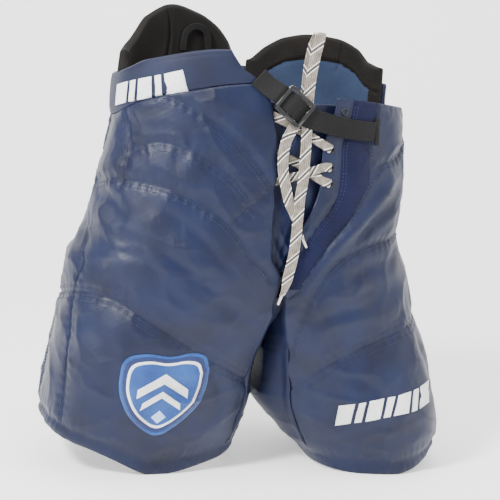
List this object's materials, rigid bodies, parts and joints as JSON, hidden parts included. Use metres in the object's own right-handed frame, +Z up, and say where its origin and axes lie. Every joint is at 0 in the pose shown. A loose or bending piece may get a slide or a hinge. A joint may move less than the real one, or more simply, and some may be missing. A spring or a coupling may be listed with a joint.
{
  "type": "ice hockey pants",
  "caption": "Padded ice hockey pants with two leg tubes, laced and belted fly, waistband, raised back pads, thigh crest and stitched motif.",
  "frame": {"origin": "middle of the base, on the surface that the hems stand on", "axes": "+Z up from the hems to the waist, front faces -Y, the wearer's left side is +X"},
  "size_m": [0.5404, 0.2521, 0.5896],
  "materials": {
    "navy_nylon": "shiny woven navy nylon",
    "navy_stretch": "matt navy stretch knit",
    "blue_lining": "matt blue brushed lining",
    "black_foam": "black foam-backed mesh",
    "white_foam": "white closed-cell foam",
    "guard_plastic": "moulded polyethylene guard",
    "black_webbing": "ribbed black webbing",
    "buckle_plastic": "moulded black acetal",
    "lace_cotton": "waxed flat woven lace, off-white with a black and white tracer",
    "lace_tip": "shrunk clear-white lace tip",
    "eyelet_metal": "black enamelled brass eyelet",
    "crest_felt": "embroidered felt crest",
    "white_thread": "raised white embroidery"
  },
  "bodies": {
    "upper": {"right_hip_shell": "navy_nylon", "left_eyelet_strip": "navy_nylon", "left_hip_shell": "navy_nylon", "crotch_gusset": "navy_nylon", "right_waistband": "navy_nylon", "left_waistband": "navy_nylon", "fly_gusset": "navy_nylon", "right_eyelet_strip": "navy_nylon", "left_stretch_panel": "navy_stretch", "left_back_lining": "blue_lining", "right_back_pad": "black_foam", "left_back_pad": "black_foam", "right_hip_liner": "black_foam", "left_hip_liner": "black_foam", "right_hip_pad": "white_foam", "left_hip_pad": "white_foam", "tail_pad": "white_foam", "right_hip_guard": "guard_plastic", "left_hip_guard": "guard_plastic", "tail_guard": "guard_plastic", "belt_anchor_strap": "black_webbing", "belt_strap": "black_webbing", "belt_slot_binding": "black_webbing", "lace_cross_1": "lace_cotton", "lace_cross_2": "lace_cotton", "lace_cross_3": "lace_cotton", "lace_end_long": "lace_cotton", "lace_end_short": "lace_cotton", "lace_tip_long": "lace_tip", "lace_tip_short": "lace_tip", "left_eyelet_1": "eyelet_metal", "right_eyelet_1": "eyelet_metal", "left_eyelet_2": "eyelet_metal", "right_eyelet_2": "eyelet_metal", "left_eyelet_3": "eyelet_metal", "right_eyelet_3": "eyelet_metal", "left_eyelet_4": "eyelet_metal", "right_eyelet_4": "eyelet_metal"},
    "right_leg": {"right_hem_band": "navy_nylon", "right_thigh_shell": "navy_nylon", "right_leg_liner": "black_foam", "right_thigh_guard": "guard_plastic", "right_thigh_pad": "white_foam", "thigh_crest": "crest_felt"},
    "left_leg": {"left_hem_band": "navy_nylon", "left_thigh_shell": "navy_nylon", "left_leg_liner": "black_foam", "left_thigh_guard": "guard_plastic", "left_thigh_pad": "white_foam", "thigh_motif": "white_thread"},
    "right_lobe": {"right_lobe_pad": "black_foam"},
    "left_lobe": {"left_lobe_pad": "black_foam"},
    "hanger": {"hanger_loop": "black_webbing"},
    "buckle": {"belt_buckle": "buckle_plastic"}
  },
  "joints": [
    {"name": "right_leg_swing", "type": "hinge", "parent": "upper", "child": "right_leg", "pos_m": [-0.13, 0.00273, 0.3], "axis": [-1, 0, 0], "range_deg": [-10, 25]},
    {"name": "left_leg_swing", "type": "hinge", "parent": "upper", "child": "left_leg", "pos_m": [0.13, 0.00273, 0.3], "axis": [-1, 0, 0], "range_deg": [-10, 25], "deforming": ["lace_end_long"]},
    {"name": "right_lobe_flex", "type": "hinge", "parent": "upper", "child": "right_lobe", "pos_m": [-0.04782, 0.11793, 0.517], "axis": [-0.9371, -0.349, 0], "range_deg": [0, 15], "stiffness_Nm_per_rad": 2},
    {"name": "left_lobe_flex", "type": "hinge", "parent": "upper", "child": "left_lobe", "pos_m": [0.03698, 0.11793, 0.517], "axis": [-0.9371, 0.349, 0], "range_deg": [0, 15], "stiffness_Nm_per_rad": 2},
    {"name": "hanger_loop_swing", "type": "hinge", "parent": "right_lobe", "child": "hanger", "pos_m": [-0.0714, 0.0876, 0.5297], "axis": [0.9938, 0.1115, 0], "range_deg": [0, 60]},
    {"name": "buckle_tilt", "type": "hinge", "parent": "upper", "child": "buckle", "pos_m": [-0.02197, -0.11992, 0.48793], "axis": [-0.6157, 0, -0.788], "range_deg": [0, 45]}
  ]
}
